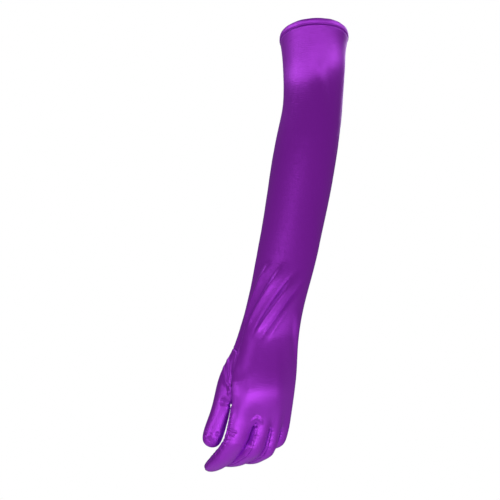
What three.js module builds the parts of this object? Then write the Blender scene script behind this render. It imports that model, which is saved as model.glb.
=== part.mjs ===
// A long evening glove for the left hand, in stretch satin, with the shape that it has on an arm.
// It hangs with the arm opening up and the fingertips down, and the back of the hand faces -Y.
// The glove is cut as a back panel and a palm panel, with a set-in thumb, a forked strip
// (fourchette) between each two fingers, and a turned hem round the arm opening.
// Units are millimetres and degrees, +Z is up, and the origin is the centre of the arm opening.
import * as THREE from "three";

// Driving dimensions
const CLOTH = 1.0; // thickness of a wall
const SEAM_GAP = 0.4; // between two panels that are sewn together
const HEM = { height: 7.5, thick: 2.2, proud: 0.6, flare: 1.2, corners: 6 };
const UPPER_ARM_TILT = 25; // the arm opening lies further back than the elbow

// Centre, full breadth and thickness of the sleeve and hand, from the hem to the knuckles.
// turn swings the breadth round the arm, slant lifts the little-finger side, square 2 is an ellipse,
// and cup lowers the little-finger side of the hand into the palm.
const SECTIONS = table(
  ["x", "y", "z", "wide", "deep", "turn", "slant", "square", "cup"],
  [
    [0, -3.3, -7.1, 74.5, 71, 0, 5, 2, 0],
    [-0.6, -9.2, -20, 69.5, 69, 0, 3, 2, 0],
    [-1, -21, -48, 65.6, 67.2, 0, 0, 2, 0],
    [-2.1, -33, -85, 63.8, 69, 0, 0, 2, 0],
    [-8.6, -38.5, -118, 68, 70, 0, 0, 2, 0],
    [-16.2, -43, -165, 68, 67.5, 5, 0, 2, 0],
    [-25.4, -48, -215, 65, 62.5, 14, 0, 2, 0],
    [-32.4, -51.4, -248, 63, 58, 20, 0, 2, 0],
    [-36.9, -53.4, -268, 61.6, 55.5, 22, 0, 2, 0],
    [-41.4, -55.4, -288, 60.8, 52.3, 25, 0, 2.05, 0],
    [-46, -57.2, -308, 62.6, 49.5, 27.5, 0, 2.1, 0],
    [-49.8, -58.6, -327, 68.5, 46, 30, 0, 2.2, 1],
    [-52.7, -59, -344, 76.5, 43, 32, 0, 2.3, 3],
    [-54.8, -57.8, -370, 85.5, 38, 32, 0, 2.4, 7],
    [-54, -54, -397, 81.5, 34, 30, 0, 2.4, 12],
  ],
);
const THUMB_TOP_ROW = 12; // the thumb is set in between this section and the next two

// The fingers, measured from the middle of the line where the fingers part.
// splay is towards the thumb, roll turns a finger on itself, and the bends are at the knuckle
// and the two finger joints. wide and deep are the finger's own, at its root.
const PARTING = { x: -53, y: -49, z: -422, tilt: -9, turn: 28 };
const PRESSED_GAP = 0.5; // fingers that lie side by side press each other flat, up to this gap
const FINGERS = table(
  ["name", "across", "up", "along", "wide", "deep", "splay", "roll",
    "root", "middle", "end", "bend1", "bend2", "bend3", "taper"],
  [
    ["index", -29, -1, -8, 31.5, 18.5, 9.5, 12, 26, 26, 33, 8, 28, 14, 0.9],
    ["middle", -7.8, 2, -3, 23, 18, 5.5, 14, 33, 28, 28, 9, 46, 14, 0.84],
    ["ring", 10.5, -3.5, 5, 18.5, 17, 3, 12, 30, 26, 25, 12, 48, 14, 0.84],
    ["little", 27, -13.5, 8, 17.5, 16, 3, 12, 20, 19, 21, 14, 52, 18, 0.86],
  ],
);

// Rings of the thumb, from its seam to its tip. lift raises the outer side of a ring.
const THUMB = table(
  ["x", "y", "z", "wide", "deep", "turn", "lift"],
  [
    [-94.5, -66, -379.5, 37.1, 25, 36, 74],
    [-99.2, -62.7, -393, 20.1, 24, 36, 55],
    [-101.4, -56, -407, 19.6, 22, 34, 24],
    [-105.6, -52, -421, 21.6, 21, 32, 18],
    [-109.8, -49, -434, 23.2, 20.5, 30, 18],
    [-113, -47.5, -445, 19.5, 16, 30, 18],
  ],
);
const THUMB_TIP = { x: -114.5, y: -47, z: -451 };

// Folds of the cloth, as seen from the front (-Y) or the back (+Y).
// Each runs from x0, z0 to x1, z1. Height is out of the cloth, and a minus is a furrow.
const FOLDS = table(
  ["side", "x0", "z0", "x1", "z1", "bow", "width", "height"],
  [
    ["front", -41, -257, -78, -317, -1, 4, 1.6],
    ["front", -27, -263, -71, -323, -1, 4.2, 2.2],
    ["front", -18.5, -278, -58, -330, 0, 4, 1.6],
    ["front", -51.5, -258, -80, -316, 0, 2.6, -0.8],
    ["front", -33, -259, -76, -321, -1.7, 2.6, -1.2],
    ["front", -21, -269, -66, -324, 0, 2.8, -1.2],
    ["front", -18, -287, -52, -334, 0, 2.8, -0.6],
    ["front", -93, -350, -91, -384, 0, 1.8, 0.8],
    ["front", -97, -358, -91.5, -393, 0, 1.8, 1],
  ],
);

const AROUND = 20; // corners of a sleeve ring, and the first one is on the thumb side
const HALF = AROUND / 2;
const STALL = 8; // corners of a finger ring, and the first one is behind the thumb side

// A table of named columns as a list of rows, each an object.
function table(columns, rows) {
  return rows.map((row) => Object.fromEntries(columns.map((name, i) => [name, row[i]])));
}

const rad = THREE.MathUtils.degToRad;
const point = (p) => new THREE.Vector3(p.x, p.y, p.z);

// a + b * n, as a new vector.
function along(a, b, n) {
  return a.clone().addScaledVector(b, n);
}

function middleOf(points) {
  const sum = points.reduce((s, p) => s.add(p), new THREE.Vector3());
  return sum.divideScalar(points.length);
}

// A subdivision surface lies inside its cage, so a ring is drawn this much larger.
function cageGain(corners) {
  return 6 / (4 + 2 * Math.cos((2 * Math.PI) / corners));
}

// Corners of a ring at equal distances round it, as across and up, from the thumb side over the back.
function ringCorners(wide, deep, square, count) {
  const steps = 720;
  const power = (v) => Math.sign(v) * Math.abs(v) ** (2 / square);
  const fine = [];
  for (let i = 0; i <= steps; i++) {
    const angle = Math.PI - (2 * Math.PI * i) / steps;
    fine.push([(wide / 2) * power(Math.cos(angle)), (deep / 2) * power(Math.sin(angle))]);
  }
  const reach = [0];
  for (let i = 1; i <= steps; i++) {
    reach.push(reach[i - 1] + Math.hypot(fine[i][0] - fine[i - 1][0], fine[i][1] - fine[i - 1][1]));
  }
  const corners = [];
  for (let k = 0, i = 0; k < count; k++) {
    const wanted = (reach[steps] * k) / count;
    while (reach[i + 1] < wanted) i++;
    const share = (wanted - reach[i]) / (reach[i + 1] - reach[i]);
    corners.push([0, 1].map((n) => fine[i][n] + share * (fine[i + 1][n] - fine[i][n])));
  }
  return corners;
}

// Directions at a place on the arm: down the arm, across to the little finger, and up out of the back.
function frameOf(down, turn, slant = 0) {
  const d = down.clone().normalize();
  const flat = new THREE.Vector3(Math.cos(rad(turn)), Math.sin(rad(turn)), 0);
  const across = along(flat, d, -flat.dot(d)).normalize();
  const up = new THREE.Vector3().crossVectors(d, across);
  across.applyAxisAngle(up, rad(slant));
  return { down: d.clone().applyAxisAngle(up, rad(slant)), across, up };
}

// The corners of one sleeve section.
function sectionRing(row, down) {
  const { across, up } = frameOf(down, row.turn, row.slant);
  const gain = cageGain(AROUND);
  return ringCorners(row.wide * gain, row.deep * gain, row.square, AROUND).map(([a, u]) => {
    const drop = row.cup * Math.max((2 * a) / row.wide, 0) ** 2;
    return along(along(point(row), across, a), up, u - drop);
  });
}

// Bends a finger's directions towards the palm.
function bent({ down, across, up }, angle) {
  return {
    down: down.clone().applyAxisAngle(across, rad(angle)),
    across,
    up: up.clone().applyAxisAngle(across, rad(angle)),
  };
}

// Corners of a finger ring: back, side, palm and side, with a half-angle that sets the side strip.
function stallRing(centre, { across, up }, wide, deep, corner = 45) {
  const gain = cageGain(STALL);
  const [c, s] = [Math.cos(rad(corner)), Math.sin(rad(corner))];
  const outline = [[-c, s], [0, 1], [c, s], [1, 0], [c, -s], [0, -1], [-c, -s], [-1, 0]];
  return outline.map(([a, u]) =>
    along(along(centre, across, (a * wide * gain) / 2), up, (u * deep * gain) / 2),
  );
}

// The rings of one finger and the middle of its tip.
function fingerRings(row) {
  const tilt = rad(PARTING.tilt);
  const hand = frameOf(new THREE.Vector3(0, -Math.sin(tilt), -Math.cos(tilt)), PARTING.turn);
  const root = along(
    along(along(point(PARTING), hand.across, row.across), hand.up, row.up),
    hand.down,
    row.along,
  );
  const splay = rad(-row.splay);
  let f = {
    down: hand.down.clone().applyAxisAngle(hand.up, splay),
    across: hand.across.clone().applyAxisAngle(hand.up, splay),
    up: hand.up,
  };
  f = {
    down: f.down,
    across: f.across.clone().applyAxisAngle(f.down, rad(-row.roll)),
    up: f.up.clone().applyAxisAngle(f.down, rad(-row.roll)),
  };
  const bones = table(
    ["length", "bend"],
    [[row.root, row.bend1], [row.middle, row.bend2], [row.end, row.bend3]],
  );
  const rings = [];
  let at = root;
  const size = { wide: row.wide, deep: row.deep };
  bones.forEach((bone, i) => {
    const joint = i ? bent(f, bone.bend / 2) : bent(f, bone.bend);
    const narrow = 1 - ((1 - row.taper) * 2 * i) / 5;
    rings.push(stallRing(at, joint, size.wide * narrow, size.deep * narrow));
    f = bent(f, bone.bend);
    const share = i === 2 ? 0.78 : 0.5;
    const thin = i === 2 ? row.taper * 0.8 : narrow - (1 - row.taper) / 5;
    const shaft = along(at, f.down, bone.length * share);
    rings.push(stallRing(shaft, f, size.wide * thin, size.deep * thin, 45 - 7 * i));
    at = along(at, f.down, bone.length);
  });
  return { rings, tip: along(at, f.down, row.end * 0.06), root, across: f.across };
}

// The plane in which two neighbouring fingers touch: a point of it, and its direction to the second.
function contactPlane(first, second) {
  const [a, b] = [fingerRings(first), fingerRings(second)];
  const sides = [along(a.root, a.across, first.wide / 2), along(b.root, b.across, -second.wide / 2)];
  return { at: middleOf(sides), to: a.across.clone().add(b.across).normalize() };
}

// The rings of the thumb and the middle of its tip. A ring starts on the outer side.
function thumbRings() {
  const rings = THUMB.map((row) => {
    const [turn, lift] = [rad(row.turn), rad(row.lift)];
    const inward = new THREE.Vector3(
      Math.cos(turn) * Math.cos(lift),
      Math.sin(turn) * Math.cos(lift),
      -Math.sin(lift),
    );
    const front = new THREE.Vector3(Math.sin(turn), -Math.cos(turn), 0);
    const gain = cageGain(STALL);
    return Array.from({ length: STALL }, (_, k) => {
      const angle = (2 * Math.PI * k) / STALL;
      return along(
        along(point(row), inward, (-Math.cos(angle) * row.wide * gain) / 2),
        front,
        (Math.sin(angle) * row.deep * gain) / 2,
      );
    });
  });
  return { rings, tip: point(THUMB_TIP) };
}

// The coarse cage of the whole glove: points, four-cornered faces, and the panel and finger of each face.
function gloveCage() {
  const points = [];
  const faces = [];
  const add = (p) => points.push(p) - 1;
  const face = (panel, ...corners) => faces.push({ panel, corners });

  const rows = SECTIONS.map((row, i) => {
    const before = SECTIONS[Math.max(i - 1, 0)];
    const after = SECTIONS[Math.min(i + 1, SECTIONS.length - 1)];
    return sectionRing(row, point(after).sub(point(before))).map(add);
  });

  // The last row of the hand is the roots of the four fingers, which share their corners.
  const fingers = FINGERS.map(fingerRings);
  const roots = fingers.map((finger) => finger.rings[0].map(() => -1));
  fingers.forEach(({ rings }, f) => {
    rings[0].forEach((p, k) => {
      const left = f > 0 && { 0: 2, 7: 3, 6: 4 }[k];
      if (left) {
        const shared = roots[f - 1][left];
        points[shared] = middleOf([points[shared], p]);
        roots[f][k] = shared;
      } else {
        roots[f][k] = add(p);
      }
    });
  });
  const knuckles = [roots[0][7]];
  for (let f = 0; f < 4; f++) knuckles.push(roots[f][0], roots[f][1]);
  knuckles.push(roots[3][2], roots[3][3]);
  for (let f = 3; f >= 0; f--) knuckles.push(roots[f][4], roots[f][5]);
  knuckles.push(roots[0][6]);
  rows.push(knuckles);

  const inThumb = (r, k) =>
    r >= THUMB_TOP_ROW && r < THUMB_TOP_ROW + 2 && k >= AROUND - 2;
  for (let r = 0; r + 1 < rows.length; r++) {
    for (let k = 0; k < AROUND; k++) {
      if (inThumb(r, k)) continue;
      const n = (k + 1) % AROUND;
      const panel = k < HALF ? "back_panel" : "palm_panel";
      face(panel, rows[r][k], rows[r + 1][k], rows[r + 1][n], rows[r][n]);
    }
  }

  // A tube of rings from a loop of points that is there already, closed by four faces at the tip.
  const stall = (loop, { rings, tip }, panelOf, finger) => {
    const firstFace = faces.length;
    let from = loop;
    for (const ring of rings) {
      const to = ring.map(add);
      from.forEach((_, k) => {
        const n = (k + 1) % STALL;
        face(panelOf(k), from[k], to[k], to[n], from[n]);
      });
      from = to;
    }
    const end = add(tip);
    for (const k of [7, 1, 3, 5]) {
      const side = panelOf(k === 7 || k === 1 ? 0 : 4);
      face(side, from[k], end, from[(k + 2) % STALL], from[(k + 1) % STALL]);
    }
    faces.slice(firstFace).forEach((f) => (f.finger = finger));
  };

  // A finger's side is a fourchette, or on the outer sides of the hand half back and half palm.
  const between = (f) => `fourchette_${FINGERS[f].name}_${FINGERS[f + 1].name}`;
  fingers.forEach(({ rings, tip }, f) => {
    const panelOf = (k) => {
      if ((k === 2 || k === 3) && f < 3) return between(f);
      if (k > 5 && f > 0) return between(f - 1);
      return k < 3 || k === 7 ? "back_panel" : "palm_panel";
    };
    stall(roots[f], { rings: rings.slice(1), tip }, panelOf, f);
  });

  const [top, mid, low] = [0, 1, 2].map((n) => rows[THUMB_TOP_ROW + n]);
  const [edge, far] = [AROUND - 1, AROUND - 2];
  const hole = [top[edge], top[0], mid[0], low[0], low[edge], low[far], mid[far], top[far]];
  stall(hole, thumbRings(), () => "thumb");
  return { points, faces };
}

// One step of Catmull-Clark subdivision. An open edge keeps its own smooth curve.
// Only the picked faces are split, and a face beside them takes the new points of its edges.
function subdivide({ points, faces }, picked = () => true) {
  const centres = faces.map((f) => middleOf(f.corners.map((c) => points[c])));
  const edges = new Map();
  const edgeKey = (a, b) => (a < b ? `${a},${b}` : `${b},${a}`);
  faces.forEach((f, i) =>
    f.corners.forEach((a, k) => {
      const b = f.corners[(k + 1) % f.corners.length];
      const key = edgeKey(a, b);
      if (!edges.has(key)) edges.set(key, { a, b, faces: [] });
      edges.get(key).faces.push(i);
    }),
  );
  const around = points.map(() => ({ faces: [], mids: [], rim: [] }));
  faces.forEach((f, i) => f.corners.forEach((c) => around[c].faces.push(centres[i])));
  const made = points.map(() => null);
  for (const e of edges.values()) {
    const mid = middleOf([points[e.a], points[e.b]]);
    const open = e.faces.length === 1;
    for (const v of [e.a, e.b]) (open ? around[v].rim : around[v].mids).push(mid);
    e.index = made.length;
    made.push(open ? mid : middleOf([points[e.a], points[e.b], ...e.faces.map((i) => centres[i])]));
  }
  points.forEach((p, v) => {
    const { faces: near, mids, rim } = around[v];
    if (!near.length) made[v] = p.clone();
    else if (rim.length) made[v] = middleOf([p, middleOf(rim)]);
    else {
      const n = mids.length;
      const sum = middleOf(near).addScaledVector(middleOf(mids), 2).addScaledVector(p, n - 3);
      made[v] = sum.divideScalar(n);
    }
  });
  const firstCentre = made.length;
  made.push(...centres);
  const split = [];
  const isPicked = faces.map(picked);
  faces.forEach((f, i) => {
    const count = f.corners.length;
    const sides = f.corners.map((a, k) => edges.get(edgeKey(a, f.corners[(k + 1) % count])));
    if (isPicked[i]) {
      f.corners.forEach((a, k) => {
        const before = sides[(k + count - 1) % count];
        split.push({ ...f, corners: [a, sides[k].index, firstCentre + i, before.index] });
      });
    } else {
      const corners = f.corners.flatMap((a, k) =>
        sides[k].faces.some((n) => isPicked[n]) ? [a, sides[k].index] : [a],
      );
      split.push({ ...f, corners });
    }
  });
  return { points: made, faces: split };
}

// Moves the points of the fingers out of their neighbours, onto the planes in which they touch.
function pressFingers({ points, faces }) {
  const fingersAt = points.map(() => new Set());
  for (const { corners, finger } of faces) corners.forEach((c) => fingersAt[c].add(finger));
  const pressed = points.map((p) => p.clone());
  for (let f = 0; f + 1 < FINGERS.length; f++) {
    const { at, to } = contactPlane(FINGERS[f], FINGERS[f + 1]);
    pressed.forEach((p, i) => {
      const [owner] = fingersAt[i];
      if (fingersAt[i].size > 1 || (owner !== f && owner !== f + 1)) return;
      const side = owner === f ? 1 : -1;
      const over = side * p.clone().sub(at).dot(to) + PRESSED_GAP / 2;
      if (over > 0) p.addScaledVector(to, -side * over);
    });
  }
  return { points: pressed, faces };
}

// The outward direction at each point. Each face counts by its angle there.
function normalsOf({ points, faces }) {
  const normals = points.map(() => new THREE.Vector3());
  for (const { corners } of faces) {
    const count = corners.length;
    const n = new THREE.Vector3();
    corners.forEach((c, k) => {
      n.add(new THREE.Vector3().crossVectors(points[c], points[corners[(k + 1) % count]]));
    });
    n.normalize();
    corners.forEach((c, k) => {
      const [before, after] = [corners[(k + count - 1) % count], corners[(k + 1) % count]];
      const angle = along(points[before], points[c], -1).angleTo(along(points[after], points[c], -1));
      normals[c].addScaledVector(n, angle);
    });
  }
  return normals.map((n) => n.normalize());
}

// The same directions, each averaged with its neighbours', so that a wall keeps its form in a tight fold.
function evened(normals, { faces }) {
  const sums = normals.map(() => new THREE.Vector3());
  for (const { corners } of faces) {
    const middle = middleOf(corners.map((c) => normals[c]));
    corners.forEach((c) => sums[c].add(middle));
  }
  return sums.map((sum) => sum.normalize());
}

// How far a point lies beside a fold's line, and how far along it as a share of its length.
function besideFold(fold, p) {
  const [dx, dz] = [fold.x1 - fold.x0, fold.z1 - fold.z0];
  const length = Math.hypot(dx, dz);
  const share = ((p.x - fold.x0) * dx + (p.z - fold.z0) * dz) / length ** 2;
  const bow = fold.bow * Math.sin(Math.PI * share);
  return { share, off: ((p.x - fold.x0) * -dz + (p.z - fold.z0) * dx) / length - bow };
}

// How far a fold lifts a point of the cloth, whose outward direction is n.
function foldLift(fold, p, n) {
  const facing = fold.side === "front" ? -n.y : n.y;
  const { share, off } = besideFold(fold, p);
  if (facing <= 0 || share <= 0 || share >= 1) return 0;
  const swell = Math.sin(Math.PI * share) ** 0.6 * Math.min(1, 2 * facing);
  return fold.height * swell * Math.exp(-((off / fold.width) ** 2));
}

// Splits the faces that the folds pass over, and lifts their points.
function foldCloth(surface) {
  const smooth = normalsOf(surface);
  const folded = ({ corners }) =>
    FOLDS.some((fold) =>
      corners.some((c) => {
        const { share, off } = besideFold(fold, surface.points[c]);
        const facing = fold.side === "front" ? -smooth[c].y : smooth[c].y;
        return facing > 0.1 && share > -0.02 && share < 1.02 && Math.abs(off) < 1.2 * fold.width;
      }),
    );
  const { points, faces } = subdivide(surface, folded);
  const normals = normalsOf({ points, faces });
  const lifted = points.map((p, i) => {
    const lift = FOLDS.reduce((sum, fold) => sum + foldLift(fold, p, normals[i]), 0);
    return along(p, normals[i], lift);
  });
  return { points: lifted, faces };
}

// The edges of some faces that only one of them has.
function rimOf(faces) {
  const edges = new Map();
  for (const { corners } of faces) {
    corners.forEach((a, k) => {
      const b = corners[(k + 1) % corners.length];
      if (edges.has(`${b},${a}`)) edges.delete(`${b},${a}`);
      else edges.set(`${a},${b}`, [a, b]);
    });
  }
  return [...edges.values()];
}

// One panel as a closed wall: its outer faces, the same faces set in by the cloth, and its edges.
function panelGeometry(surface, normals, panel) {
  const faces = surface.faces.filter((f) => f.panel === panel);
  const rim = rimOf(faces);

  // Each point of the rim moves into the panel, square to the rim, by half the seam's gap.
  const inset = new Map();
  for (const [a, b] of rim) {
    const line = surface.points[b].clone().sub(surface.points[a]).normalize();
    for (const v of [a, b]) {
      const inward = new THREE.Vector3().crossVectors(normals[v], line).normalize();
      if (!inset.has(v)) inset.set(v, []);
      inset.get(v).push(inward);
    }
  }
  const outer = new Map();
  const inner = new Map();
  const positions = [];
  const put = (p) => positions.push(p.x, p.y, p.z) / 3 - 1;
  for (const v of new Set(faces.flatMap((f) => f.corners))) {
    const p = surface.points[v].clone();
    if (inset.has(v)) {
      const sum = inset.get(v).reduce((s, d) => s.add(d), new THREE.Vector3());
      const spread = Math.max(sum.length() / inset.get(v).length, 0.4);
      p.addScaledVector(sum.normalize(), SEAM_GAP / 2 / spread);
    }
    outer.set(v, put(p));
    inner.set(v, put(along(p, normals[v], -CLOTH)));
  }
  const index = [];
  const fan = (corners) => {
    for (let k = 2; k < corners.length; k++) index.push(corners[0], corners[k - 1], corners[k]);
  };
  for (const { corners } of faces) {
    const [a, b, c, d] = corners.map((v) => surface.points[v]);
    const shorter = Number(b.distanceTo(d) < a.distanceTo(c));
    const first = corners.length === 4 ? shorter : corners.indexOf(Math.max(...corners));
    const turned = [...corners.slice(first), ...corners.slice(0, first)];
    fan(turned.map((v) => outer.get(v)));
    fan([turned[0], ...turned.slice(1).reverse()].map((v) => inner.get(v)));
  }
  for (const [a, b] of rim) fan([outer.get(b), outer.get(a), inner.get(a), inner.get(b)]);
  const geometry = new THREE.BufferGeometry();
  geometry.setAttribute("position", new THREE.Float32BufferAttribute(positions, 3));
  geometry.setIndex(index);
  return geometry;
}

// The points of the open edge of the cloth, in order round the arm opening.
function openEdge({ faces }) {
  const next = new Map(rimOf(faces));
  const loop = [next.keys().next().value];
  while (next.get(loop.at(-1)) !== loop[0]) loop.push(next.get(loop.at(-1)));
  return loop;
}

// The hem is a soft-edged band swept round the opening, wider towards its free edge.
function hemGeometry(surface, normals) {
  const loop = openEdge(surface);
  const tilt = rad(UPPER_ARM_TILT);
  const upArm = new THREE.Vector3(0, Math.sin(tilt), Math.cos(tilt));
  const soft = (v) => Math.sign(v) * Math.abs(v) ** 0.6;
  const positions = [];
  const index = [];
  loop.forEach((v, i) => {
    const out = along(normals[v], upArm, -normals[v].dot(upArm)).normalize();
    for (let j = 0; j < HEM.corners; j++) {
      const turn = (2 * Math.PI * (j + 0.5)) / HEM.corners;
      const rise = SEAM_GAP + (HEM.height / 2) * (1 - soft(Math.sin(turn)));
      const flare = (HEM.flare * rise) / HEM.height;
      const reach = HEM.proud + flare + (HEM.thick / 2) * (soft(Math.cos(turn)) - 1);
      const p = along(along(surface.points[v], out, reach), upArm, rise);
      positions.push(p.x, p.y, p.z);
      const [a, b] = [i * HEM.corners, ((i + 1) % loop.length) * HEM.corners];
      const n = (j + 1) % HEM.corners;
      index.push(a + j, b + n, a + n, a + j, b + j, b + n);
    }
  });
  const geometry = new THREE.BufferGeometry();
  geometry.setAttribute("position", new THREE.Float32BufferAttribute(positions, 3));
  geometry.setIndex(index);
  return geometry;
}

function satin() {
  return new THREE.MeshStandardMaterial({ color: 0x7a22a0, roughness: 0.38, metalness: 0.0 });
}

function namedMesh(name, geometry) {
  geometry.computeVertexNormals();
  const mesh = new THREE.Mesh(geometry, satin());
  mesh.name = name;
  return mesh;
}

const cloth = pressFingers(foldCloth(pressFingers(subdivide(gloveCage()))));
const clothNormals = evened(normalsOf(cloth), cloth);
const glove = new THREE.Group();
glove.add(namedMesh("cuff_hem", hemGeometry(cloth, clothNormals)));
for (const panel of new Set(cloth.faces.map((f) => f.panel))) {
  glove.add(namedMesh(panel, panelGeometry(cloth, clothNormals, panel)));
}

export default glove;
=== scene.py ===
# A long evening glove in violet stretch satin, for the left hand, in the shape that it has on an arm.
# The cloth is one subdivision surface, which is folded and puckered in code and then cut into the
# glove's panels. Lengths are in millimetres, apart from the studio, in metres.
import math

import bpy
import numpy as np
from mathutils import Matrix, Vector, kdtree, noise


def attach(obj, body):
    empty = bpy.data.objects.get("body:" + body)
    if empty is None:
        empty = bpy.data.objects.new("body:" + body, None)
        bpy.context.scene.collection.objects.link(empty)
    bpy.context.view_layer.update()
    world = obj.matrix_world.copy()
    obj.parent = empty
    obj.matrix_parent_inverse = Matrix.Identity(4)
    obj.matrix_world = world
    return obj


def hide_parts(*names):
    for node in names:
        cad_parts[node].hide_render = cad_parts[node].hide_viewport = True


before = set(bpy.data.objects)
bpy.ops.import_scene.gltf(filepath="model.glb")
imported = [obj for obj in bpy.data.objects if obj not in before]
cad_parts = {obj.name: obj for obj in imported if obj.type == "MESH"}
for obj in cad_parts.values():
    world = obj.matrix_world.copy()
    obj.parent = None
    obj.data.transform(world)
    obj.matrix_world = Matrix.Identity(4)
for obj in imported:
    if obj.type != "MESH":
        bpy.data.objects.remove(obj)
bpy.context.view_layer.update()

MM = 0.001

# Driving dimensions
CLOTH = 0.9  # thickness of the satin
UPPER_ARM_TILT = 25  # degrees that the arm opening leans back
AROUND = 20  # corners of a sleeve ring, and the first one is on the thumb side
HALF = AROUND // 2
STALL = 8  # corners of a finger ring
FINE_ROW = 6  # the cloth is finer from this section down
CONTACT_GAP = 0.4  # between two fingers that press each other flat
INDEX_FREE = (-446, -430)  # over this height the index finger leaves the side of the middle finger
OUTLINE_STEPS = 720  # short steps in which the length of an outline is measured
FITTING_ROUNDS = 5  # rounds of moving the cage until its surface passes through the wanted points

PANELS = [
    "back_panel", "palm_panel", "thumb",
    "fourchette_index_middle", "fourchette_middle_ring", "fourchette_ring_little",
]
NO_FINGER, THUMB_FINGER = -1, 4  # the fingers are 0 to 3, from the index finger


def table(columns, rows):
    """A table of named columns as a list of rows, each a dict."""
    return [dict(zip(columns.split(), row)) for row in rows]


# Centre, full breadth and thickness of the sleeve and hand, from the hem to the knuckles. turn and
# slant are degrees about the arm and to its side, square is the power of the outline, where 2 is an
# ellipse, and cup is how far the little finger's side drops.
SECTIONS = table("x y z wide deep turn slant square cup", [
    (0, -3.3, -7.1, 74.5, 71, 0, 5, 2, 0),
    (-0.6, -9.2, -20, 69.5, 69, 0, 3, 2, 0),
    (-1, -21, -48, 65.6, 67.2, 0, 0, 2, 0),
    (-2.1, -33, -85, 63.8, 69, 0, 0, 2, 0),
    (-8.6, -38.5, -118, 68, 70, 0, 0, 2, 0),
    (-16.2, -43, -165, 68, 67.5, 5, 0, 2, 0),
    (-25.4, -48, -215, 65, 62.5, 14, 0, 2, 0),
    (-32.4, -51.4, -248, 63, 58, 20, 0, 2, 0),
    (-36.9, -53.4, -268, 61.6, 55.5, 22, 0, 2, 0),
    (-41.4, -55.4, -288, 60.8, 52.3, 25, 0, 2.05, 0),
    (-46, -57.2, -308, 62.6, 49.5, 27.5, 0, 2.1, 0),
    (-49.8, -58.6, -327, 68.5, 46, 30, 0, 2.2, 1),
    (-52.7, -59, -344, 76.5, 43, 32, 0, 2.3, 3),
    (-54.8, -57.8, -370, 85.5, 38, 32, 0, 2.4, 7),
    (-54, -54, -397, 81.5, 34, 30, 0, 2.4, 12),
])
THUMB_TOP_ROW = 12
KNUCKLE_LENGTH = 20  # from the last section to the roots of the fingers

# The middle of the knuckles. Each finger's root lies off it, and three bones with their bends follow.
PARTING = dict(x=-53, y=-49, z=-422, tilt=-9, turn=28)
FINGERS = table("name across up along wide deep splay roll root middle end bend1 bend2 bend3 taper", [
    ("index", -29, -1, -8, 31.5, 18.5, 9.5, 12, 26, 26, 33, 8, 28, 14, 0.9),
    ("middle", -7.8, 2, -3, 25.5, 18, 8.5, 14, 33, 28, 28, 9, 46, 14, 0.84),
    ("ring", 10.5, -3.5, 5, 19.5, 17, 5, 12, 30, 26, 25, 12, 48, 14, 0.84),
    ("little", 27, -13.5, 8, 17.5, 16, 3, 12, 20, 19, 21, 14, 52, 18, 0.86),
])
# Where a bone's second ring lies along it, on the first two bones and on the last one, and how narrow
# that last ring is. Then how far the tip lies past the last bone, as a share of it, and the angle of
# a ring's corners, which shrinks by a step from bone to bone.
BONE = dict(shaft=0.5, last_shaft=0.78, last_width=0.8, tip=0.06, corner=45, corner_step=7)
BONE_RINGS = 5  # rings after the first one, over which a finger narrows evenly

# Rings of the thumb. turn is degrees about the vertical, and lift is how steeply a ring's inner side
# slopes down.
THUMB = table("x y z wide deep turn lift", [
    (-94.5, -66, -379.5, 37.1, 25, 36, 74),
    (-99.2, -62.7, -393, 20.1, 24, 36, 55),
    (-101.4, -56, -407, 19.6, 22, 34, 24),
    (-105.6, -52, -421, 21.6, 21, 32, 18),
    (-109.8, -49, -434, 23.2, 20.5, 30, 18),
    (-113, -47.5, -445, 19.5, 16, 30, 18),
])
THUMB_TIP = (-114.5, -47, -451)
THUMB_GIRTH = 66

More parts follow.
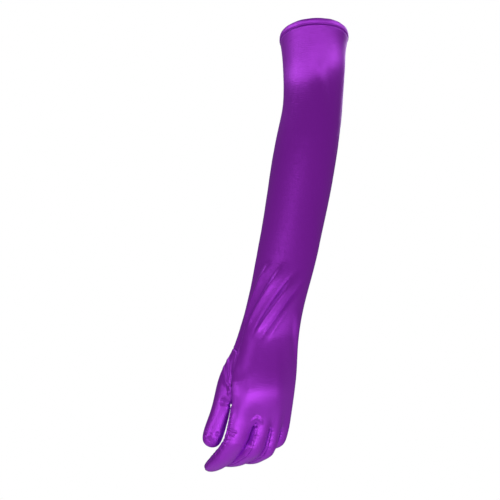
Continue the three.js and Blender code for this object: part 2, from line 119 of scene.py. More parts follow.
# Broad swells, and then folds, as seen from the front (-Y) or the back (+Y), from x0, z0 to x1, z1,
# bowed to one side. lead and trail are the widths of the two flanks, and a minus height is a furrow.
# fade is the share of its length over which a fold rises, and narrow is the share of its width and
# height that it loses towards its end.
SWELLS = table("side x0 z0 x1 z1 bow lead trail height fade narrow", [
    ("front", -52, -61, 14, -58, 0, 30, 18, 2.1, 0.25, 0),
    ("front", -12, -50, 56, -35, 0, 30, 18, 2.1, 0.25, 0),
    ("front", -86, -262, 14, -248, 0, 40, 60, 1.8, 0.2, 0),
    ("front", -94, -337, -16, -329, 0, 42, 18, -3.6, 0.15, 0),
    ("front", -100, -380, -26, -385, 0, 26, 32, 4.2, 0.42, 0),
])
FOLDS = table("side x0 z0 x1 z1 bow lead trail height fade narrow", [
    # The fan of folds over the wrist
    ("front", -62, -262, -78, -314, -0.4, 1.8, 2.6, 1.6, 0.4, 0.5),
    ("front", -48, -246, -79, -318, -0.5, 3.0, 4.2, 4.7, 0.35, 0.6),
    ("front", -30.5, -246, -77, -323, -1.7, 4.0, 5.2, 4.9, 0.4, 0.62),
    ("front", -17.5, -257, -67.5, -328, -0.8, 3.8, 4.8, 4.6, 0.4, 0.5),
    ("front", -8, -262, -55, -338, -0.6, 5.0, 4.6, 1.8, 0.4, 0.4),
    ("front", -38, -250, -77.8, -321, -1.0, 1.8, 1.8, -1.7, 0.35, 0.5),
    ("front", -22, -256, -70.5, -327, -1.2, 2.1, 2.1, -2.3, 0.35, 0.5),
    ("front", -12, -264, -60, -334, -0.6, 2.4, 2.4, -2.2, 0.4, 0.35),
    # Drag lines at the root of the thumb
    ("front", -93.8, -346, -90.5, -387, -0.8, 1.8, 2.2, 2.5, 0.3, 0.3),
    ("front", -98, -356, -91.5, -392, -1.2, 1.8, 2.6, 3.4, 0.3, 0.3),
    ("front", -95.2, -360, -91, -381, 0, 1.3, 1.3, -1.6, 0.3, 0),
    ("front", -100.6, -362, -91.5, -390, -0.6, 1.7, 1.6, -2.3, 0.3, 0),
    ("front", -104, -397, -88, -400.5, 0, 2.6, 2.8, -2.1, 0.3, 0),
    # Dents at the thumb tip
    ("front", -108, -430.5, -103.5, -434.5, 0, 1.6, 1.6, -0.8, 0.4, 0),
    ("front", -117.5, -437.5, -112.5, -441.5, 0, 1.6, 1.6, -0.8, 0.4, 0),
    ("front", -121, -429.5, -117, -433.5, 0, 1.4, 1.4, -0.6, 0.4, 0),
    ("front", -114, -430.5, -109.5, -439.5, 0.6, 1.6, 1.6, 0.7, 0.4, 0),
    # Puckers of the index finger, and the arcs over its parting from the middle finger
    ("front", -97, -425, -83, -430.2, 0, 1.2, 1.3, -1.1, 0.3, 0),
    ("front", -96, -429.4, -86.5, -433.6, 0, 1.1, 1.1, -0.9, 0.3, 0),
    ("front", -71.5, -419.5, -56, -421.5, 6.4, 1.5, 1.8, 1.4, 0.3, 0),
    ("front", -67.5, -411, -59, -412.5, 1.5, 1.8, 1.5, -0.9, 0.4, 0),
    # Creases inside the elbow and on the heel of the hand
    ("back", 34, -58, -34, -66, 1.5, 4.0, 4.5, -1.1, 0.45, 0.4),
    ("back", 36, -67, -38, -76, 2.0, 4.5, 5.0, 1.2, 0.45, 0.4),
    ("back", 36, -77, -40, -86, 2.0, 4.0, 4.5, -1.5, 0.45, 0.4),
    ("back", 30, -88, -42, -96, 2.0, 5.0, 5.5, 1.0, 0.45, 0.4),
    ("back", 22, -101, -42, -107, 1.0, 5.0, 5.0, -0.9, 0.45, 0.4),
    ("back", -20, -316, -78, -330, -1.5, 2.6, 3.0, -0.9, 0.4, 0.4),
    ("back", -18, -326, -84, -341, -1.5, 3.0, 3.0, 0.8, 0.4, 0.4),
    ("back", -22, -334, -84, -350, -1.5, 2.4, 2.8, -0.8, 0.4, 0.4),
    ("back", -40, -366, -74, -386, 3.0, 3.0, 3.6, -0.9, 0.4, 0.4),
    ("back", -34, -384, -66, -402, 2.5, 3.0, 3.4, 0.9, 0.4, 0.4),
])

SWELL_POWER, FOLD_POWER = 2, 1.6  # a low power gives a crisp crest
END_FADE = 0.6  # a fold ends over this share of the length over which it rises
FACING_GAIN = 2.5  # how soon a fold dies away where the cloth turns to the side

# Puckers along the seams: how high, how long, and how far they reach into the cloth, by height z.
PUCKERS = table("z height pitch reach", [
    (0, 0.16, 16, 5),
    (-300, 0.224, 13, 5),
    (-350, 0.48, 9, 4),
    (-400, 0.88, 6, 3.4),
    (-440, 1.04, 5, 3.0),
    (-470, 0.64, 5, 2.6),
])
FINE_PUCKER = dict(share=0.5, times=2.3)  # a second wave, lower and shorter
SEAM_GROOVE = dict(depth=0.5, width=0.75)
SEAM_FAR = 16  # past this distance a seam isn't felt
SLACK = dict(height=0.22, across=22, along=60)  # soft unevenness of the stretched cloth
# Creases on the palm side of a finger's two outer joints, by their distance from the joint.
BENDS = table("along width height", [
    (-4.2, 1.8, 0.45),
    (-1.6, 1.1, -0.7),
    (1.1, 1.3, 0.4),
    (3.4, 1.1, -0.6),
    (6.0, 2.0, 0.35),
])
PALM_GAIN = 2  # how soon these creases die away towards the finger's sides

# The turned hem in section: out from the sleeve's edge, and up the arm. Then its row of stitches
HEM_PROFILE = table("reach rise", [
    (-0.55, -0.1), (0.0, 0.0), (-0.05, 0.35), (-0.2, 0.6), (-0.1, 0.8), (0.3, 0.95), (0.6, 1.2),
    (0.72, 1.7), (0.74, 2.8), (0.7, 4.2), (0.6, 5.5), (0.4, 6.6), (0.1, 7.4), (-0.35, 7.9), (-0.8, 7.9),
    (-1.1, 7.4), (-1.3, 6.4), (-1.35, 4.8), (-1.3, 3.0), (-1.2, 1.8), (-0.95, 1.1), (-1.25, 0.5),
    (-1.75, -0.3), (-1.85, -1.3), (-1.55, -1.7), (-1.2, -1.3), (-1.0, -0.5),
])
HEM_POINTS = 480
HEM_WAVE = dict(size=9, reach=0.12, full_reach_at=4, rise=0.25, full_rise_at=8)  # its unevenness
STITCH = dict(pitch=3.0, gap=0.14, rise=0.62, reach=-0.04, sink=0.3, radius=0.17)
STITCH_SINKS = np.array([1, 0.15, 0, 0, 0.15, 1])  # how far each point of a stitch dives into the cloth
THREAD_SIDES = 6


def unit(v):
    return v / np.linalg.norm(v)


def turned(v, axis, angle):
    """v turned about a unit axis by an angle in degrees."""
    a = math.radians(angle)
    return v * math.cos(a) + np.cross(axis, v) * math.sin(a) + axis * (axis @ v) * (1 - math.cos(a))


def place(row):
    return np.array([row["x"], row["y"], row["z"]], float)


def cage_gain(corners):
    """A subdivision surface lies inside its cage, so a ring is drawn this much larger."""
    return 6 / (4 + 2 * math.cos(2 * math.pi / corners))


def ring_corners(wide, deep, square, count):
    """Corners at equal distances round a section, as across and up, from the thumb side over the back."""
    angle = np.pi - np.linspace(0, 2 * np.pi, OUTLINE_STEPS + 1)
    power = 2 / square
    across = wide / 2 * np.sign(np.cos(angle)) * np.abs(np.cos(angle)) ** power
    up = deep / 2 * np.sign(np.sin(angle)) * np.abs(np.sin(angle)) ** power
    reach = np.concatenate([[0], np.cumsum(np.hypot(np.diff(across), np.diff(up)))])
    wanted = reach[-1] * np.arange(count) / count
    return np.stack([np.interp(wanted, reach, across), np.interp(wanted, reach, up)], 1)


def frame_of(down, turn, slant=0):
    """Directions at a place on the arm: down, across to the little finger, and up out of the back."""
    d = unit(down)
    flat = np.array([math.cos(math.radians(turn)), math.sin(math.radians(turn)), 0])
    across = unit(flat - d * (flat @ d))
    up = np.cross(d, across)
    return turned(d, up, slant), turned(across, up, slant), up


def section_ring(row, down):
    """Corners of one sleeve ring, drawn large enough for the smooth surface inside it."""
    _, across, up = frame_of(down, row["turn"], row["slant"])
    gain = cage_gain(AROUND)
    corners = ring_corners(row["wide"] * gain, row["deep"] * gain, row["square"], AROUND)
    drop = row["cup"] * np.maximum(2 * corners[:, 0] / row["wide"], 0) ** 2
    return place(row) + corners[:, :1] * across + (corners[:, 1] - drop)[:, None] * up


def bent(f, angle):
    """Finger directions bent towards the palm."""
    down, across, up = f
    return turned(down, across, angle), across, turned(up, across, angle)


def stall_ring(centre, f, wide, deep, corner=BONE["corner"]):
    """Corners of a finger ring: back, side, palm and side."""
    _, across, up = f
    gain = cage_gain(STALL)
    c, s = math.cos(math.radians(corner)), math.sin(math.radians(corner))
    outline = [(-c, s), (0, 1), (c, s), (1, 0), (c, -s), (0, -1), (-c, -s), (-1, 0)]
    return np.array([centre + across * a * wide * gain / 2 + up * u * deep * gain / 2 for a, u in outline])


def finger_shape(row):
    """The rings of one finger, the middle of its tip, its root, and its joints with their directions."""
    tilt = math.radians(PARTING["tilt"])
    hand = frame_of(np.array([0, -math.sin(tilt), -math.cos(tilt)]), PARTING["turn"])
    down, across, up = hand
    root = at = place(PARTING) + across * row["across"] + up * row["up"] + down * row["along"]
    down, across = turned(down, up, -row["splay"]), turned(across, up, -row["splay"])
    f = down, turned(across, down, -row["roll"]), turned(up, down, -row["roll"])
    rings, joints = [], []
    bones = [(row["root"], row["bend1"]), (row["middle"], row["bend2"]), (row["end"], row["bend3"])]
    for i, (length, bend) in enumerate(bones):
        lost = (1 - row["taper"]) / BONE_RINGS
        narrow = 1 - lost * 2 * i
        joint = bent(f, bend / 2 if i else bend)
        joints.append((at, joint))
        rings.append(stall_ring(at, joint, row["wide"] * narrow, row["deep"] * narrow))
        f = bent(f, bend)
        last = i == len(bones) - 1
        thin = row["taper"] * BONE["last_width"] if last else narrow - lost
        shaft = at + f[0] * length * BONE["last_shaft" if last else "shaft"]
        corner = BONE["corner"] - BONE["corner_step"] * i
        rings.append(stall_ring(shaft, f, row["wide"] * thin, row["deep"] * thin, corner))
        at = at + f[0] * length
    tip = at + f[0] * row["end"] * BONE["tip"]
    return dict(rings=rings, tip=tip, root=root, across=f[1], joints=joints)


def contact_plane(first, second):
    """The plane in which two neighbouring fingers touch: a point, and its direction to the second."""
    a, b = finger_shape(first), finger_shape(second)
    side_a = a["root"] + a["across"] * first["wide"] / 2
    side_b = b["root"] - b["across"] * second["wide"] / 2
    return (side_a + side_b) / 2, unit(a["across"] + b["across"])


def thumb_rings():
    """The rings of the thumb, each from its outer side."""
    rings = []
    for row in THUMB:
        turn, lift = math.radians(row["turn"]), math.radians(row["lift"])
        flat = math.cos(lift)
        inward = np.array([math.cos(turn) * flat, math.sin(turn) * flat, -math.sin(lift)])
        front = np.array([math.sin(turn), -math.cos(turn), 0])
        angle = 2 * np.pi * np.arange(STALL) / STALL
        gain = cage_gain(STALL) / 2
        rings.append(
            place(row)
            - np.cos(angle)[:, None] * inward * row["wide"] * gain
            + np.sin(angle)[:, None] * front * row["deep"] * gain
        )
    return rings


def stall_panels(f):
    """The panel of each side of finger f, from its back corner on the thumb side round over the back."""
    names = [row["name"] for row in FINGERS]
    panels = ["back_panel"] * 3 + ["palm_panel"] * 4 + ["back_panel"]
    if f < len(names) - 1:
        panels[2:4] = [f"fourchette_{names[f]}_{names[f + 1]}"] * 2
    if f > 0:
        panels[6:8] = [f"fourchette_{names[f - 1]}_{names[f]}"] * 2
    return panels


def sleeve_measures():
    """Girth of each sleeve section, and how far down the arm each one lies."""
    centres = [place(row) for row in SECTIONS]
    girths = [math.pi * (row["wide"] + row["deep"]) / 2 for row in SECTIONS]
    lengths = [np.linalg.norm(b - a) for a, b in zip(centres, centres[1:])]
    downs = np.concatenate([[0], np.cumsum(lengths)])
    return np.append(girths, girths[-1]), np.append(downs, downs[-1] + KNUCKLE_LENGTH)


class Cage:
    """The coarse cage of the glove: points, four-cornered faces, and each face's panel, finger and place.

    A face's uv is in millimetres: round the arm or finger, and down it."""

    def __init__(self):
        self.points, self.faces, self.tags, self.uvs = [], [], [], []
        self.build()

    def add(self, p):
        self.points.append(np.array(p, float))
        return len(self.points) - 1

    def face(self, panel, corners, uv, finger=NO_FINGER):
        self.faces.append(corners)
        self.tags.append((PANELS.index(panel), finger))
        self.uvs.append(uv)

    def stall(self, loop, rings, tip, panels, start, girth, finger):
        """A tube of rings from a loop of points that is there already, closed by four faces."""
        before, v = loop, start
        for ring in rings:
            after = [self.add(p) for p in ring]
            step = np.linalg.norm(np.mean(ring, 0) - np.mean([self.points[i] for i in before], 0))
            for k in range(STALL):
                n = (k + 1) % STALL
                u0, u1 = girth * k / STALL, girth * (k + 1) / STALL
                uv = [(u0, v), (u0, v + step), (u1, v + step), (u1, v)]
                self.face(panels[k], [before[k], after[k], after[n], before[n]], uv, finger)
            before, v = after, v + step
        end = self.add(tip)
        for k in (7, 1, 3, 5):
            n, m = (k + 1) % STALL, (k + 2) % STALL
            u0 = girth * k / STALL
            step = girth / STALL
            uv = [(u0, v), (u0 + step, v + step), (u0 + 2 * step, v), (u0 + step, v)]
            panel = panels[0 if k in (7, 1) else 4]
            self.face(panel, [before[k], end, before[m], before[n]], uv, finger)

    def sleeve_rows(self):
        """The rings of points from the hem to the knuckles."""
        centres = [place(row) for row in SECTIONS]
        last = len(SECTIONS) - 1
        rows = []
        for i, row in enumerate(SECTIONS):
            down = centres[min(i + 1, last)] - centres[max(i - 1, 0)]
            rows.append([self.add(p) for p in section_ring(row, down)])
        return rows

    def finger_roots(self, fingers):
        """The first ring of each finger. Three of its corners are also corners of the finger before it."""
        roots = []
        for f, finger in enumerate(fingers):
            shared = {0: 2, 7: 3, 6: 4} if f else {}
            root = []
            for k, p in enumerate(finger["rings"][0]):
                if k in shared:
                    left = roots[f - 1][shared[k]]
                    self.points[left] = (self.points[left] + p) / 2
                    root.append(left)
                else:
                    root.append(self.add(p))
            roots.append(root)
        return roots

    def hand_walls(self, rows):
        """Adds the faces between the rows, apart from the thumb's hole, and gives each row's place down."""
        girths, downs = sleeve_measures()
        for r in range(len(rows) - 1):
            for k in range(AROUND):
                if THUMB_TOP_ROW <= r < THUMB_TOP_ROW + 2 and k >= AROUND - 2:
                    continue
                n = (k + 1) % AROUND
                panel = "back_panel" if k < HALF else "palm_panel"
                u = [(k - HALF / 2) / AROUND, (k + 1 - HALF / 2) / AROUND]
                uv = [
                    (u[0] * girths[r], downs[r]),
                    (u[0] * girths[r + 1], downs[r + 1]),
                    (u[1] * girths[r + 1], downs[r + 1]),
                    (u[1] * girths[r], downs[r]),
                ]
                self.face(panel, [rows[r][k], rows[r + 1][k], rows[r + 1][n], rows[r][n]], uv)
        return downs

    def build(self):
        rows = self.sleeve_rows()
        fingers = [finger_shape(row) for row in FINGERS]
        roots = self.finger_roots(fingers)

        # The last row of the hand goes round all four roots.
        knuckles = [roots[0][7]]
        for root in roots:
            knuckles += root[:2]
        knuckles += roots[-1][2:4]
        for root in reversed(roots):
            knuckles += root[4:6]
        knuckles.append(roots[0][6])
        rows.append(knuckles)

        downs = self.hand_walls(rows)
        for f, finger in enumerate(fingers):
            girth = math.pi * (FINGERS[f]["wide"] + FINGERS[f]["deep"]) / 2
            self.stall(roots[f], finger["rings"][1:], finger["tip"], stall_panels(f), downs[-1], girth, f)

        top, mid, low = rows[THUMB_TOP_ROW:THUMB_TOP_ROW + 3]
        edge, far = AROUND - 1, AROUND - 2
        hole = [top[edge], top[0], mid[0], low[0], low[edge], low[far], mid[far], top[far]]
        start = downs[THUMB_TOP_ROW]
        self.stall(hole, thumb_rings(), THUMB_TIP, ["thumb"] * STALL, start, THUMB_GIRTH, THUMB_FINGER)


def subdivide(points, faces, tags, uvs, picked=None):
    """One step of smooth subdivision of four-cornered faces.

    Only the picked faces are split. The others that touch them take the new points of their edges."""
    faces = np.asarray(faces)
    count = len(faces)
    centres = points[faces].mean(1)
    ends = np.stack([faces, np.roll(faces, -1, 1)], 2).reshape(-1, 2)
    edges, edge_of = np.unique(np.sort(ends, 1), axis=0, return_inverse=True)
    edge_of = edge_of.reshape(count, 4)
    uses = np.bincount(edge_of.ravel(), minlength=len(edges))
    mids = points[edges].mean(1)
    near = np.zeros_like(mids)
    np.add.at(near, edge_of.ravel(), np.repeat(centres, 4, 0))
    open_edge = uses == 1
    edge_points = np.where(open_edge[:, None], mids, (2 * mids + near) / 4)

    valence = np.bincount(edges.ravel(), minlength=len(points)).astype(float)
    faces_at = np.bincount(faces.ravel(), minlength=len(points)).astype(float)
    centre_sum, mid_sum, rim_sum = (np.zeros_like(points) for _ in range(3))
    np.add.at(centre_sum, faces.ravel(), np.repeat(centres, 4, 0))
    for side in (0, 1):
        np.add.at(mid_sum, edges[:, side], mids)
        np.add.at(rim_sum, edges[open_edge, side], mids[open_edge])
    n = np.maximum(valence, 1)[:, None]
    inside = (centre_sum / np.maximum(faces_at, 1)[:, None] + 2 * mid_sum / n + (n - 3) * points) / n
    on_rim = np.zeros(len(points), bool)
    on_rim[edges[open_edge].ravel()] = True
    moved = np.where(on_rim[:, None], (points + rim_sum / 2) / 2, inside)

    made = np.concatenate([moved, edge_points, centres])
    first_edge, first_centre = len(points), len(points) + len(edges)
    edge_ids = first_edge + edge_of
    uv = np.asarray(uvs)
    uv_mid = (uv + np.roll(uv, -1, 1)) / 2
    uv_centre = uv.mean(1)
    chosen = np.ones(count, bool) if picked is None else picked
    quads, quad_uv, quad_tags = [], [], []
    for k in range(4):
        before = (k - 1) % 4
        centre = first_centre + np.arange(count)
        quads.append(np.stack([faces[:, k], edge_ids[:, k], centre, edge_ids[:, before]], 1)[chosen])
        quad_uv.append(np.stack([uv[:, k], uv_mid[:, k], uv_centre, uv_mid[:, before]], 1)[chosen])
        quad_tags.append(tags[chosen])
    quads, quad_uv = np.concatenate(quads), np.concatenate(quad_uv)
    quad_tags = np.concatenate(quad_tags)
    if picked is None:
        return made, quads, quad_tags, quad_uv
    split_edge = np.zeros(len(edges), bool)
    split_edge[edge_of[chosen].ravel()] = True
    loose_faces, loose_uv = [], []
    for i in np.nonzero(~chosen)[0]:
        corners, places = [], []
        for k in range(4):
            corners.append(int(faces[i, k]))
            places.append(uv[i, k])
            if split_edge[edge_of[i, k]]:
                corners.append(int(edge_ids[i, k]))
                places.append(uv_mid[i, k])
        loose_faces.append(corners)
        loose_uv.append(places)
    all_faces = quads.tolist() + loose_faces
    all_uv = list(quad_uv) + [np.array(p) for p in loose_uv]
    return made, all_faces, np.concatenate([quad_tags, tags[~chosen]]), all_uv


def limit_points(points, faces):
    """Where repeated subdivision would bring each point."""
    ends = np.stack([faces, np.roll(faces, -1, 1)], 2).reshape(-1, 2)
    edges, uses = np.unique(np.sort(ends, 1), axis=0, return_counts=True)
    near, across, rim = (np.zeros_like(points) for _ in range(3))
    for k in range(4):
        np.add.at(across, faces[:, k], points[faces[:, (k + 2) % 4]])
    valence = np.bincount(edges.ravel(), minlength=len(points))[:, None].astype(float)
    for a, b in ((0, 1), (1, 0)):
        np.add.at(near, edges[:, a], points[edges[:, b]])
        np.add.at(rim, edges[uses == 1, a], points[edges[uses == 1, b]])
    limit = (valence**2 * points + 4 * near + across) / np.maximum(valence * (valence + 5), 1)
    on_rim = np.unique(edges[uses == 1])
    limit[on_rim] = (4 * points[on_rim] + rim[on_rim]) / 6
    return limit


def face_sides(faces):
    """The two ends of every side of every face, and the number of its face."""
    sizes = np.array([len(f) for f in faces])
    starts = np.cumsum(sizes) - sizes
    ends = np.concatenate([np.asarray(f) for f in faces])
    following = np.arange(len(ends)) + 1
    following[starts + sizes - 1] = starts
    return ends, ends[following], np.repeat(np.arange(len(sizes)), sizes)


def normals_of(points, sides):
    """The outward direction at each point."""
    first, second, face = sides
    area = np.zeros((face[-1] + 1, 3))
    np.add.at(area, face, np.cross(points[first], points[second]))
    normals = np.zeros_like(points)
    np.add.at(normals, first, area[face])
    return normals / np.maximum(np.linalg.norm(normals, axis=1), 1e-12)[:, None]


def owners(count, sides, tags):
    """The lowest and highest finger number among the faces at each point."""
    first, _, face = sides
    lowest, highest = np.full(count, THUMB_FINGER), np.full(count, NO_FINGER)
    np.minimum.at(lowest, first, tags[face, 1])
    np.maximum.at(highest, first, tags[face, 1])
    return lowest, highest


def pressed(points, faces, tags):
    """Moves the points of the fingers out of their neighbours, onto the planes in which they touch."""
    lowest, highest = owners(len(points), face_sides(faces), tags)
    points = points.copy()
    for f in range(len(FINGERS) - 1):
        at, to = contact_plane(FINGERS[f], FINGERS[f + 1])
        for owner, side in ((f, 1), (f + 1, -1)):
            mine = np.nonzero((lowest == owner) & (highest == owner))[0]
            over = np.maximum(side * (points[mine] - at) @ to + CONTACT_GAP / 2, 0)
            if f == 0:
                low, high = INDEX_FREE
                over *= smooth_step((points[mine, 2] - low) / (high - low))
            points[mine] -= side * over[:, None] * to
    return points


def smooth_step(x):
    x = np.clip(x, 0, 1)
    return x * x * (3 - 2 * x)


def fold_lift(fold, points, normals, power):
    """How far one fold lifts each point of the cloth."""
    dx, dz = fold["x1"] - fold["x0"], fold["z1"] - fold["z0"]
    length = math.hypot(dx, dz)
    rx, rz = points[:, 0] - fold["x0"], points[:, 2] - fold["z0"]
    share = (rx * dx + rz * dz) / length**2
    inside = np.clip(share, 0, 1)
    off = (rz * dx - rx * dz) / length - fold["bow"] * np.sin(np.pi * inside)
    facing = normals[:, 1] * (-1 if fold["side"] == "front" else 1)
    ends = smooth_step(inside / fold["fade"]) * smooth_step((1 - inside) / (fold["fade"] * END_FADE))
    left = 1 - fold["narrow"] * inside
    width = np.where(off < 0, fold["lead"], fold["trail"]) * left
    flank = np.exp(-(np.abs(off / width) ** power))
    return fold["height"] * left * ends * flank * smooth_step(facing * FACING_GAIN)


def bend_lift(points, normals, owner):
    """Creases of the slack cloth inside the bends of the fingers."""
    lift = np.zeros(len(points))
    for f, row in enumerate(FINGERS):
        mine = owner == f
        for at, (down, _, up) in finger_shape(row)["joints"][1:]:
            along = (points[mine] - at) @ down
            inner = smooth_step(-(normals[mine] @ up) * PALM_GAIN)
            for crease in BENDS:
                wave = np.exp(-(((along - crease["along"]) / crease["width"]) ** 2))
                lift[mine] += crease["height"] * wave * inner
    return lift


def seam_places(points, sides, tags):
    """Points close together on the lines where two panels are sewn."""
    first, second, face = sides
    low, high = np.minimum(first, second), np.maximum(first, second)
    order = np.lexsort((high, low))
    low, high, panel = low[order], high[order], tags[face[order], 0]
    shared = (low[1:] == low[:-1]) & (high[1:] == high[:-1]) & (panel[1:] != panel[:-1])
    a, b = points[low[1:][shared]], points[high[1:][shared]]
    return np.concatenate([a + (b - a) * t for t in (0, 0.33, 0.67)])


def seam_lift(points, places):
    """The groove of each seam, and the puckers that its thread draws into the cloth."""
    tree = kdtree.KDTree(len(places))
    for i, seam in enumerate(places):
        tree.insert(seam, i)
    tree.balance()
    heights = [-row["z"] for row in PUCKERS]
    lift = np.zeros(len(points))
    for i, p in enumerate(points):
        seam, _, distance = tree.find(p)
        if distance > SEAM_FAR:
            continue
        height, pitch, reach = (
            np.interp(-p[2], heights, [row[column] for row in PUCKERS])
            for column in ("height", "pitch", "reach")
        )
        wave = noise.noise(seam / pitch)
        wave += FINE_PUCKER["share"] * noise.noise(seam * FINE_PUCKER["times"] / pitch)
        lift[i] = height * wave * math.exp(-distance / reach)
        lift[i] -= SEAM_GROOVE["depth"] * math.exp(-((distance / SEAM_GROOVE["width"]) ** 2))
    return lift


def slack_lift(points):
    """Soft unevenness of the stretched cloth, drawn out along the arm."""
    scale = (1 / SLACK["across"], 1 / SLACK["across"], 1 / SLACK["along"])
    return np.array([SLACK["height"] * noise.noise(Vector(p * scale)) for p in points])


def build_cloth():
    cage = Cage()
    points, faces, tags, uvs = subdivide(
        np.array(cage.points), np.array(cage.faces), np.array(cage.tags), np.array(cage.uvs)
    )

    # The smooth surface passes through the corners that the next step gives the pressed cage.
    through = subdivide(pressed(points, faces, tags), faces, tags, uvs)[0][:len(points)]
    points = through.copy()
    for _ in range(FITTING_ROUNDS):
        points += through - limit_points(points, faces)
    mesh = points, faces, tags, uvs
    for _ in range(2):
        mesh = subdivide(*mesh)
    fine = mesh[0][mesh[1]].mean(1)[:, 2] < SECTIONS[FINE_ROW]["z"]
    points, faces, tags, uvs = subdivide(*mesh, picked=fine)
    points = pressed(points, faces, tags)

    sides = face_sides(faces)
    normals = normals_of(points, sides)
    lowest, highest = owners(len(points), sides, tags)
    lift = slack_lift(points) + seam_lift(points, seam_places(points, sides, tags))
    lift += bend_lift(points, normals, np.where(lowest == highest, lowest, NO_FINGER))
    for swell in SWELLS:
        lift += fold_lift(swell, points, normals, SWELL_POWER)
    for fold in FOLDS:
        lift += fold_lift(fold, points, normals, FOLD_POWER)
    return points + normals * lift[:, None], faces, tags, uvs


def opening_loop(points, sides):
    """The edge of the arm opening as a smooth closed loop of evenly numbered points."""
    first, second, _ = sides
    links = set(zip(first.tolist(), second.tolist()))
    follows = {a: b for a, b in links if (b, a) not in links}
    at = start = next(iter(follows))
    loop = []
    while not loop or at != start:
        loop.append(points[at])
        at = follows[at]
    waves = np.fft.rfft(np.array(loop), axis=0)
    return np.fft.irfft(waves, n=HEM_POINTS, axis=0) * HEM_POINTS / len(loop)


def swept_hem(loop):
    """The turned hem: its profile carried round the opening."""
    tilt = math.radians(UPPER_ARM_TILT)
    up_arm = np.array([0, math.sin(tilt), math.cos(tilt)])
    run = np.roll(loop, -1, 0) - np.roll(loop, 1, 0)
    out = np.cross(run, up_arm)
    out /= np.linalg.norm(out, axis=1)[:, None]
    if ((loop - loop.mean(0)) * out).sum() < 0:
        out = -out
    count = len(HEM_PROFILE)
    points, faces, uvs = [], [], []
    for p, o in zip(loop, out):
        wave = noise.noise(Vector(p / HEM_WAVE["size"]))
        for row in HEM_PROFILE:
            share = min(row["rise"] / HEM_WAVE["full_reach_at"], 1)
            reach = row["reach"] + HEM_WAVE["reach"] * wave * share
            rise = row["rise"] + HEM_WAVE["rise"] * wave * row["rise"] / HEM_WAVE["full_rise_at"]
            points.append(p + o * reach + up_arm * rise)
    step = np.linalg.norm(run, axis=1).mean() / 2
    for i in range(len(loop)):
        n = (i + 1) % len(loop)
        for j in range(count):
            k = (j + 1) % count
            faces.append([i * count + j, n * count + j, n * count + k, i * count + k])
            uvs.append([(i * step, j), (i * step + step, j), (i * step + step, j + 1), (i * step, j + 1)])
    return np.array(points), faces, uvs, out, up_arm


def satin(name, colour, roughness, weave):
    """Woven satin, whose sheen spreads round the arm."""
    mat = bpy.data.materials.new(name)
    mat.use_nodes = True
    nodes, links = mat.node_tree.nodes, mat.node_tree.links
    shader = nodes["Principled BSDF"]
    shader.inputs["Base Color"].default_value = (*colour, 1)
    shader.inputs["Roughness"].default_value = roughness
    shader.inputs["Metallic"].default_value = 0.55
    shader.inputs["Anisotropic"].default_value = 0.9
    tangent = nodes.new("ShaderNodeTangent")
    tangent.direction_type = "UV_MAP"
    tangent.uv_map = "weave"
    links.new(tangent.outputs["Tangent"], shader.inputs["Tangent"])

    # Fine uneven threads, which lie round the arm
    weave_uv = nodes.new("ShaderNodeUVMap")
    weave_uv.uv_map = "weave"
    stretch = nodes.new("ShaderNodeMapping")
    stretch.inputs["Scale"].default_value = (150, 800, 1)
    links.new(weave_uv.outputs["UV"], stretch.inputs["Vector"])
    threads = nodes.new("ShaderNodeTexNoise")
    threads.inputs["Scale"].default_value = 1.0
    threads.inputs["Detail"].default_value = 2.0
    links.new(stretch.outputs["Vector"], threads.inputs["Vector"])
    bump = nodes.new("ShaderNodeBump")
    bump.inputs["Strength"].default_value = weave
    bump.inputs["Distance"].default_value = 0.0003
    links.new(threads.outputs["Fac"], bump.inputs["Height"])
    links.new(bump.outputs["Normal"], shader.inputs["Normal"])
    return mat


SATIN = satin("violet_satin", (0.39, 0.022, 0.66), 0.36, 0.5)
SATIN_BACK = satin("violet_satin_back", (0.22, 0.02, 0.36), 0.65, 0.3)
SEWING = satin("violet_thread", (0.34, 0.03, 0.56), 0.55, 0)


def mesh_object(name, points, faces, uvs, materials):
    """A mesh object in metres from points in millimetres."""
    mesh = bpy.data.meshes.new(name)
    mesh.from_pydata([tuple(p) for p in np.asarray(points) * MM], [], faces)
    layer = mesh.uv_layers.new(name="weave")
    flat = np.concatenate([np.asarray(uv, float) for uv in uvs]) * MM
    layer.data.foreach_set("uv", flat.ravel())
    for material in materials:
        mesh.materials.append(material)
    mesh.polygons.foreach_set("use_smooth", [True] * len(mesh.polygons))
    mesh.update()
    obj = bpy.data.objects.new(name, mesh)
    bpy.context.scene.collection.objects.link(obj)
    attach(obj, "root")
    return obj


def panel_object(cloth, number, name):
    """One panel of the cloth, with the thickness of the satin on its inner side."""
    points, faces, tags, uvs = cloth
    mine = np.nonzero(tags[:, 0] == number)[0]
    used = np.unique(np.concatenate([faces[i] for i in mine]))
    new_index = {int(v): i for i, v in enumerate(used)}
    own_faces = [[new_index[int(v)] for v in faces[i]] for i in mine]
    obj = mesh_object("satin_" + name, points[used], own_faces, [uvs[i] for i in mine], [SATIN, SATIN_BACK])
    wall = obj.modifiers.new("wall", "SOLIDIFY")
    wall.thickness = CLOTH * MM
    wall.offset = -1
    wall.material_offset = 1
    wall.material_offset_rim = 0
    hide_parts(name)
    return obj


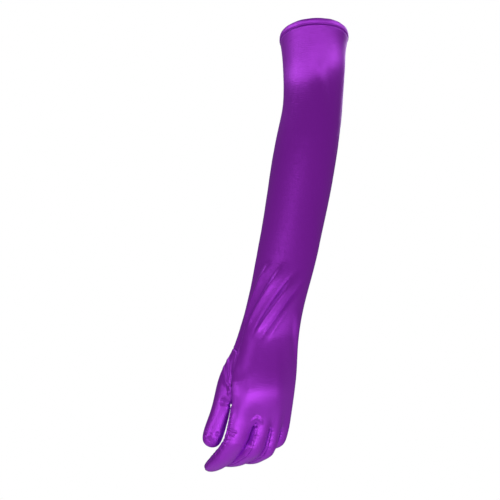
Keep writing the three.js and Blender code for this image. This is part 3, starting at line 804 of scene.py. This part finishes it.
def thread_object(name, runs, radius):
    """Short lengths of sewing thread, each swept along its own row of points with its outward direction."""
    points, faces, uvs = [], [], []
    for run, out in runs:
        run = np.asarray(run)
        ways = np.gradient(run, axis=0)
        base = len(points)
        for i, (p, way) in enumerate(zip(run, ways)):
            side = unit(np.cross(way, out))
            top = unit(np.cross(side, way))
            thin = 0.5 if i in (0, len(run) - 1) else 1
            for k in range(THREAD_SIDES):
                a = 2 * math.pi * k / THREAD_SIDES
                points.append(p + (side * math.cos(a) + top * math.sin(a)) * radius * thin)
        for i in range(len(run) - 1):
            at = base + i * THREAD_SIDES
            to = at + THREAD_SIDES
            for k in range(THREAD_SIDES):
                n = (k + 1) % THREAD_SIDES
                faces.append([at + k, at + n, to + n, to + k])
                uvs.append([(k, i), (n, i), (n, i + 1), (k, i + 1)])
        first_end = list(range(base, base + THREAD_SIDES))
        faces.append(first_end[::-1])
        faces.append(list(range(len(points) - THREAD_SIDES, len(points))))
        uvs += [[(0, 0)] * THREAD_SIDES] * 2
    return mesh_object(name, points, faces, uvs, [SEWING])


def hem_stitches(loop, out, up_arm):
    """A row of topstitches that sinks into the groove of the hem."""
    reach = np.concatenate([[0], np.cumsum(np.linalg.norm(np.diff(loop, axis=0), axis=1))])
    total = reach[-1] + np.linalg.norm(loop[0] - loop[-1])
    count = round(total / STITCH["pitch"])
    closed = np.vstack([loop, loop[:1]])
    outs = np.vstack([out, out[:1]])
    reach = np.append(reach, total)
    runs = []
    steps = np.linspace(STITCH["gap"], 1 - STITCH["gap"], len(STITCH_SINKS))
    for i in range(count):
        where = (i + steps) * total / count
        at = np.stack([np.interp(where, reach, closed[:, k]) for k in range(3)], 1)
        o = unit(np.array([np.interp(where[2], reach, outs[:, k]) for k in range(3)]))
        height = STITCH["reach"] - STITCH["sink"] * STITCH_SINKS
        at += o * height[:, None] + up_arm * STITCH["rise"]
        runs.append((at, o))
    return thread_object("hem_topstitch", runs, STITCH["radius"])


cloth = build_cloth()
panels = {name: panel_object(cloth, number, name) for number, name in enumerate(PANELS)}

opening = opening_loop(cloth[0], face_sides(cloth[1]))
hem_points, hem_faces, hem_uvs, hem_out, hem_up = swept_hem(opening)
hem = mesh_object("satin_cuff_hem", hem_points, hem_faces, hem_uvs, [SATIN])
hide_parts("cuff_hem")
stitches = hem_stitches(opening, hem_out, hem_up)


# The studio, in metres. The camera looks level along +Y, at the height of the photograph's middle.
VIEW = dict(x=-0.0704, z=-0.2365, distance=1.9, width=0.55)
SENSOR = 36
FLOOR = dict(radius=1.4, height=-1.7, corners=96)
AMBIENT, BACKGROUND = 0.155, 1.0  # the white surround as the glove and as the camera sees it
CUFF, HAND = (-0.02, -0.03, -0.03), (-0.06, -0.06, -0.4)
LIGHTS = table("name place aim size power", [
    ("high_front", (-0.1, -1.0, 1.5), CUFF, (3.6, 0.6), 9.6),
    ("high_left", (-1.7, 0.15, 1.3), CUFF, (1.3, 0.7), 8.2),
    ("high_right", (1.7, 0.15, 1.3), CUFF, (1.3, 0.7), 8.4),
    ("low_front", (0.3, -1.0, -1.2), HAND, (0.4, 0.6), 3.9),
    ("low_left", (-0.95, -0.8, -0.75), (-0.1, -0.06, -0.4), (0.5, 0.5), 2.5),
    ("low_right", (0.62, -0.75, -0.85), (-0.05, -0.08, -0.29), (0.4, 0.4), 1.3),
    ("under_front", (-0.15, -0.55, -1.35), (-0.07, -0.05, -0.44), (0.9, 0.6), 0.7),
    ("wrist_front", (0.1, -0.9, -0.47), (-0.05, -0.07, -0.3), (0.5, 0.2), 0.42),
    ("forearm_front", (-0.4, -1.15, -0.06), (-0.05, -0.05, -0.22), (0.6, 0.25), 0.7),
    ("back", (0.3, 1.5, 0.5), (-0.05, -0.03, -0.25), (1.5, 1.2), 16),
])


def area_light(row):
    data = bpy.data.lights.new(row["name"], "AREA")
    data.shape = "RECTANGLE"
    data.size, data.size_y = row["size"]
    data.energy = row["power"]
    light = bpy.data.objects.new(row["name"], data)
    light.location = row["place"]
    way = Vector(row["aim"]) - Vector(row["place"])
    light.rotation_euler = way.to_track_quat("-Z", "Y").to_euler()
    light.visible_camera = False
    bpy.context.scene.collection.objects.link(light)


def pale_floor():
    """A round pale floor, which the glove hangs high above."""
    bpy.ops.mesh.primitive_circle_add(
        vertices=FLOOR["corners"],
        radius=FLOOR["radius"],
        fill_type="NGON",
        location=(0, 0, FLOOR["height"]),
    )
    disc = bpy.context.object
    disc.name = "floor"
    paint = bpy.data.materials.new("pale_floor")
    paint.use_nodes = True
    shader = paint.node_tree.nodes["Principled BSDF"]
    shader.inputs["Base Color"].default_value = (0.85, 0.85, 0.86, 1)
    shader.inputs["Roughness"].default_value = 0.8
    shader.inputs["Emission Color"].default_value = (1, 1, 1, 1)
    shader.inputs["Emission Strength"].default_value = 0.06
    disc.data.materials.append(paint)


def add_camera(scene):
    camera = bpy.data.objects.new("camera", bpy.data.cameras.new("camera"))
    camera.data.lens = SENSOR * VIEW["distance"] / VIEW["width"]
    camera.data.sensor_width = SENSOR
    camera.location = (VIEW["x"], -VIEW["distance"], VIEW["z"])
    camera.rotation_euler = (math.radians(90), 0, 0)
    scene.collection.objects.link(camera)
    scene.camera = camera


def add_world(scene):
    """An even white surround, which lights the glove less than it shows behind it."""
    world = bpy.data.worlds.new("studio")
    world.use_nodes = True
    scene.world = world
    nodes, links = world.node_tree.nodes, world.node_tree.links
    path = nodes.new("ShaderNodeLightPath")
    strength = nodes.new("ShaderNodeMapRange")
    strength.inputs["To Min"].default_value = AMBIENT
    strength.inputs["To Max"].default_value = BACKGROUND
    links.new(path.outputs["Is Camera Ray"], strength.inputs["Value"])
    links.new(strength.outputs["Result"], nodes["Background"].inputs["Strength"])
    nodes["Background"].inputs["Color"].default_value = (1, 1, 1, 1)


def studio():
    scene = bpy.context.scene
    scene.view_settings.view_transform = "Standard"
    add_camera(scene)
    add_world(scene)
    pale_floor()
    for row in LIGHTS:
        area_light(row)


studio()
